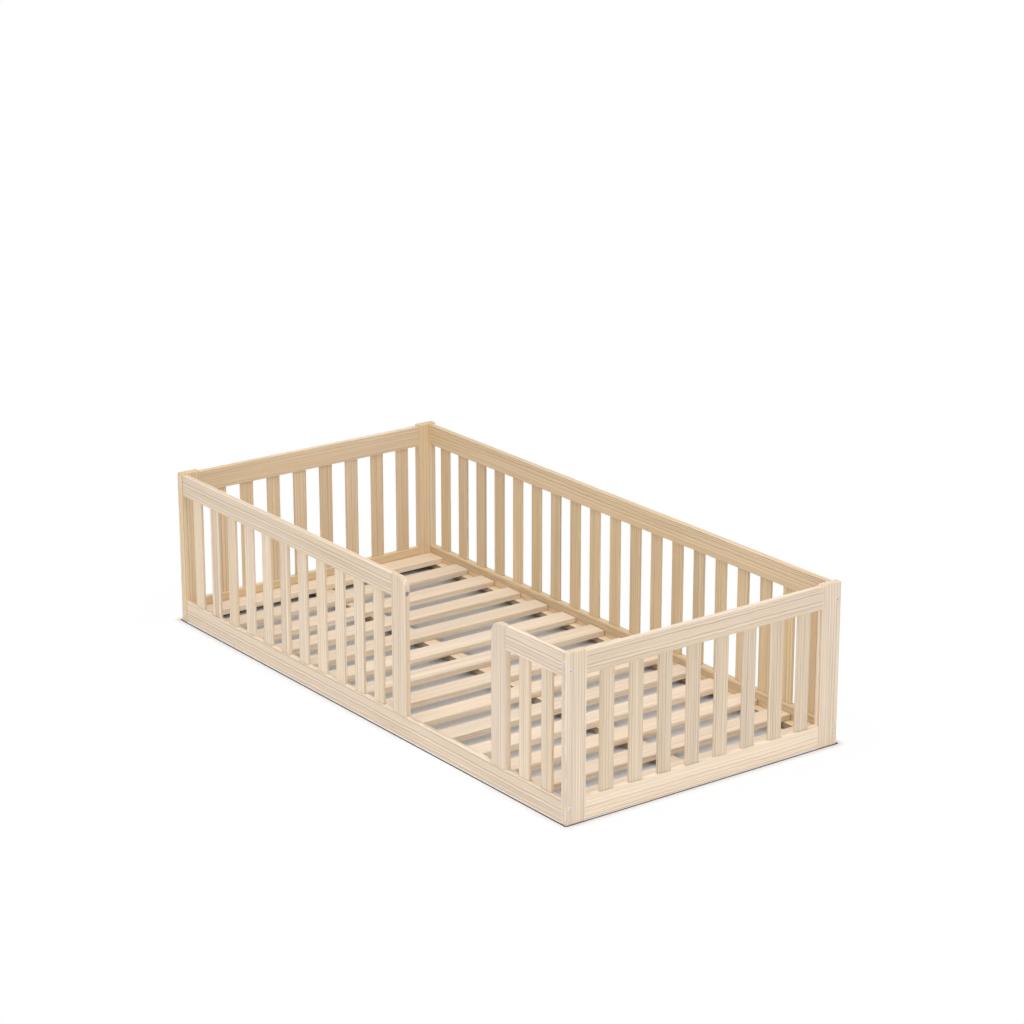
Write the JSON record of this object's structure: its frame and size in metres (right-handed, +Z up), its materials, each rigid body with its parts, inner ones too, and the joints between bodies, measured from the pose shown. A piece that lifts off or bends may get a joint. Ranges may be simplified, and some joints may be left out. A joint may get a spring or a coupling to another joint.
{
  "type": "toddler floor bed",
  "caption": "Low wooden bed frame with spindle guards all round, a gap in the front guard for climbing in, and a slatted base close to the floor.",
  "frame": {"origin": "at floor level under the middle of the bed", "axes": "+X along the bed from the head end to the foot end, +Y from the entry side to the closed side, +Z up"},
  "size_m": [1.936, 0.941, 0.475],
  "materials": {
    "pine_length": "matt, natural pine with fine straight grain",
    "pine_cross": "matt, natural pine with fine straight grain",
    "pine_upright": "matt, natural pine with fine straight grain",
    "beech_dowel": "matt",
    "bolt_steel": "zinc plated, satin",
    "screw_steel": "yellow zinc plated, satin"
  },
  "bodies": {
    "root": {"back_lower_rail": "pine_length", "back_spindles": "pine_upright", "back_top_rail": "pine_length", "centre_beam": "pine_length", "end_rail_bolts": "bolt_steel", "end_rail_dowels": "beech_dowel", "entry_foot_bolts": "bolt_steel", "entry_post_dowels": "beech_dowel", "entry_post_left": "pine_upright", "entry_post_right": "pine_upright", "entry_top_bolts": "bolt_steel", "foot_lower_rail": "pine_cross", "foot_post_back": "pine_upright", "foot_post_front": "pine_upright", "foot_spindles": "pine_upright", "foot_top_rail": "pine_cross", "front_lower_rail": "pine_length", "front_top_rail_left": "pine_length", "front_top_rail_right": "pine_length", "guard_spindle_01": "pine_upright", "guard_spindle_02": "pine_upright", "guard_spindle_03": "pine_upright", "guard_spindle_04": "pine_upright", "guard_spindle_05": "pine_upright", "guard_spindle_06": "pine_upright", "guard_spindle_07": "pine_upright", "guard_spindle_08": "pine_upright", "guard_spindle_09": "pine_upright", "guard_spindle_10": "pine_upright", "guard_spindle_11": "pine_upright", "head_lower_rail": "pine_cross", "head_post_back": "pine_upright", "head_post_front": "pine_upright", "head_spindles": "pine_upright", "head_top_rail": "pine_cross", "insert_nuts": "bolt_steel", "ledger_back": "pine_length", "ledger_front": "pine_length", "ledger_screws": "screw_steel", "short_guard_spindle_01": "pine_upright", "short_guard_spindle_02": "pine_upright", "side_rail_bolts": "bolt_steel", "side_rail_dowels": "beech_dowel", "slat_01": "pine_cross", "slat_02": "pine_cross", "slat_03": "pine_cross", "slat_04": "pine_cross", "slat_05": "pine_cross", "slat_06": "pine_cross", "slat_07": "pine_cross", "slat_08": "pine_cross", "slat_09": "pine_cross", "slat_10": "pine_cross", "slat_11": "pine_cross", "slat_12": "pine_cross", "slat_13": "pine_cross", "slat_14": "pine_cross", "slat_screws": "screw_steel"}
  },
  "joints": []
}
